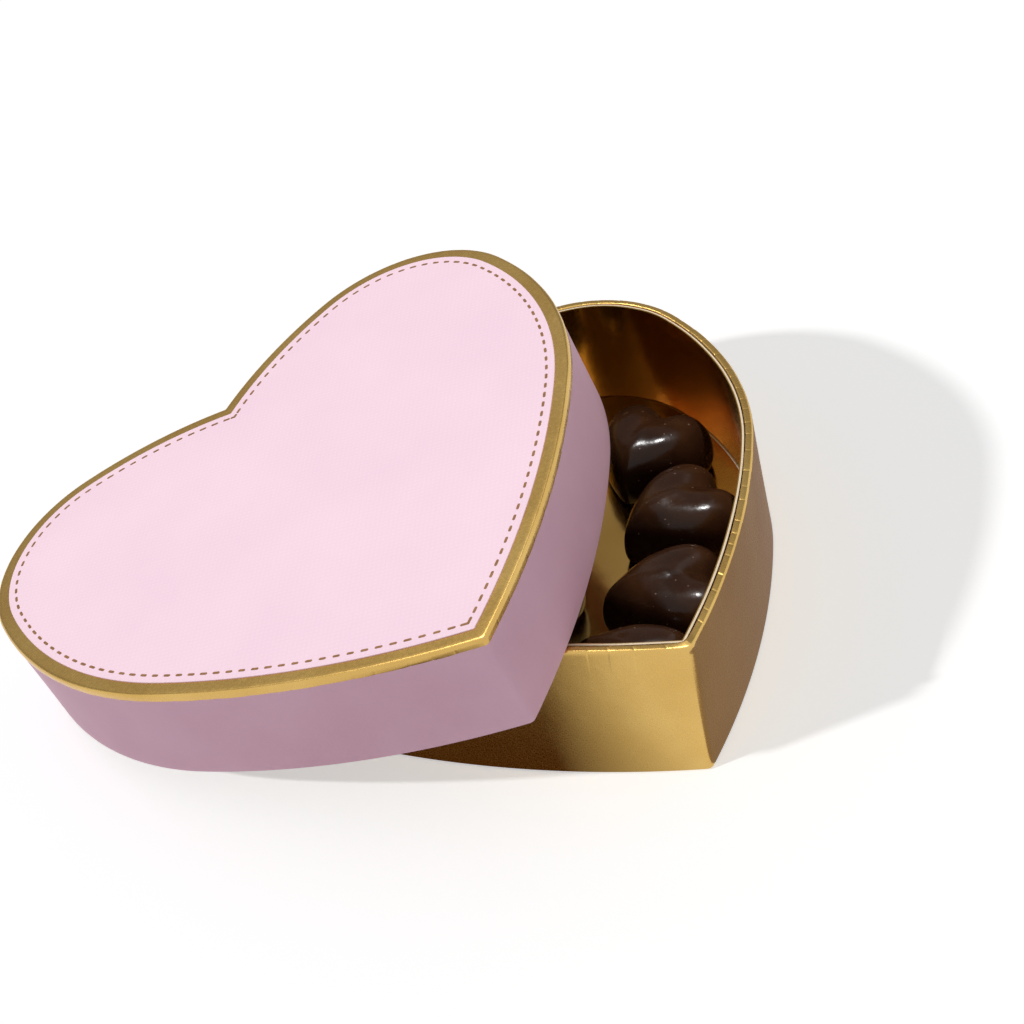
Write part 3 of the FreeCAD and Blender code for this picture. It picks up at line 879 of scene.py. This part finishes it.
def floor():
    # A pale table top; what shows of it is lifted to white, and the shadow on it stays.
    look = dict(size=6.0, colour=(0.80, 0.80, 0.80, 1), lift=0.48)
    bpy.ops.mesh.primitive_plane_add(size=look["size"], location=(0, 0, -0.0003))
    table = bpy.context.object
    table.name = "table"
    material, tree, shader = newMaterial("tableTop", Base_Color=look["colour"], Roughness=0.9, Specular_IOR_Level=0.0)
    shader.inputs["Emission Color"].default_value = (1, 1, 1, 1)
    tree.links.new(whiteWhereSeen(tree, look["lift"]), shader.inputs["Emission Strength"])
    table.data.materials.append(material)
    return table


def reflectedCard(name, corners, colour, fade=None):
    # A plain card that shows only in reflections. fade is (direction, start, end): over that
    # stretch, in metres along the direction, its colour goes softly to white.
    mesh = bpy.data.meshes.new(name)
    mesh.from_pydata(corners, [], [tuple(range(len(corners)))])
    material = bpy.data.materials.new(name)
    material.use_nodes = True
    tree = material.node_tree
    glow = tree.nodes.new("ShaderNodeEmission")
    glow.inputs["Color"].default_value = (*colour, 1)
    if fade:
        direction, start, end = fade
        along = tree.nodes.new("ShaderNodeVectorMath")
        along.operation = "DOT_PRODUCT"
        along.inputs[1].default_value = (*direction, 0)
        tree.links.new(tree.nodes.new("ShaderNodeTexCoord").outputs["Object"], along.inputs[0])
        share = combine(tree, "DIVIDE", combine(tree, "SUBTRACT", along.outputs["Value"], start), end - start)
        tree.links.new(ramp(tree, share, 0.0, 1.0, colour, (1.0, 1.0, 1.0)), glow.inputs["Color"])
    tree.links.new(glow.outputs["Emission"], tree.nodes["Material Output"].inputs["Surface"])
    mesh.materials.append(material)
    card = bpy.data.objects.new(name, mesh)
    bpy.context.scene.collection.objects.link(card)
    card.visible_camera = card.visible_diffuse = card.visible_shadow = False


def cards():
    # A tall dark card far behind the table is a painted reflection that gives the gold and the
    # chocolate their darker side. Two that lie on the table are painted shade beside the box and
    # in front of it, seen only in the gold.
    away, half, high = 1.6, 2.5, 4.4
    reflectedCard("card_behind", [(-half, away, 0.06), (half, away, 0.06), (half, away, high), (-half, away, high)], (0.31, 0.30, 0.29))
    shade = -0.0001
    beside = [(2, -110), (150, -110), (150, 90), (2, 90)]
    front = [(5.6, -51.4), (14.2, -67.4), (-82.4, -120), (-100, -106), (-100, -10), (5, -20)]
    reflectedCard("card_beside", [(x * mm, y * mm, shade) for x, y in beside], (0.31, 0.25, 0.25))
    reflectedCard("card_front", [(x * mm, y * mm, 2 * shade) for x, y in front], (0.075, 0.032, 0.010), ((0.479, -0.878), 0.032, 0.064))


def sky():
    light = dict(soft=0.38)
    world = bpy.data.worlds.new("studio")
    bpy.context.scene.world = world
    world.use_nodes = True
    tree = world.node_tree
    background = tree.nodes["Background"]
    background.inputs["Color"].default_value = (1, 1, 1, 1)
    seen = whiteWhereSeen(tree, 1.0)
    tree.links.new(combine(tree, "MAXIMUM", seen, light["soft"]), background.inputs["Strength"])


def sunLamp(name, towards, strength, angle, only=None, leaveOut=None):
    # A distant lamp. only lists what it lights, leaveOut what it doesn't.
    lamp = bpy.data.lights.new(name, "SUN")
    lamp.energy = strength
    lamp.angle = math.radians(angle)
    holder = bpy.data.objects.new(name, lamp)
    holder.rotation_euler = Vector(towards).to_track_quat("Z", "Y").to_euler()
    bpy.context.scene.collection.objects.link(holder)
    lit = bpy.data.collections.new(name + "_lights")
    for number, thing in enumerate(only or leaveOut):
        lit.objects.link(thing)
        lit.collection_objects[number].light_linking.link_state = "INCLUDE" if only else "EXCLUDE"
    holder.light_linking.receiver_collection = lit


def camera():
    # The camera's back points along its azimuth and elevation; it is rolled about that line.
    view = dict(place=(-0.18918, -0.37489, 0.37288), azimuth=-22.744, elevation=38.091, roll=-11.334, lens=74.35, shift=(0.0983, -0.0104))
    a, e, r = (math.radians(view[word]) for word in ("azimuth", "elevation", "roll"))
    back = Vector((math.sin(a) * math.cos(e), -math.cos(a) * math.cos(e), math.sin(e)))
    level = Vector((math.cos(a), math.sin(a), 0))
    right = level * math.cos(r) + back.cross(level) * math.sin(r)
    up = back.cross(right)
    eye = bpy.data.cameras.new("camera")
    eye.lens = view["lens"]
    eye.sensor_width = 36
    eye.shift_x, eye.shift_y = view["shift"]
    eye.clip_start = 0.01
    holder = bpy.data.objects.new("camera", eye)
    turn = Matrix((right, up, back)).transposed().to_4x4()
    holder.matrix_world = Matrix.Translation(view["place"]) @ turn
    bpy.context.scene.collection.objects.link(holder)
    bpy.context.scene.camera = holder


table = floor()
cards()
sky()
hearts = [thing for thing in bpy.data.objects if thing.name.startswith("chocolate_heart")]
sunLamp("overhead", (-0.10, 0.45, 0.90), 2.2, 20.0, leaveOut=[table] + hearts)
sunLamp("side", (-1.6, 0.35, 1.0), 1.75, 2.0, only=[table] + hearts)
sunLamp("glint", (0.30, 0.12, 0.95), 3.0, 1.6, only=hearts)
camera()
bpy.context.scene.view_settings.view_transform = "Standard"
print("scene lit")
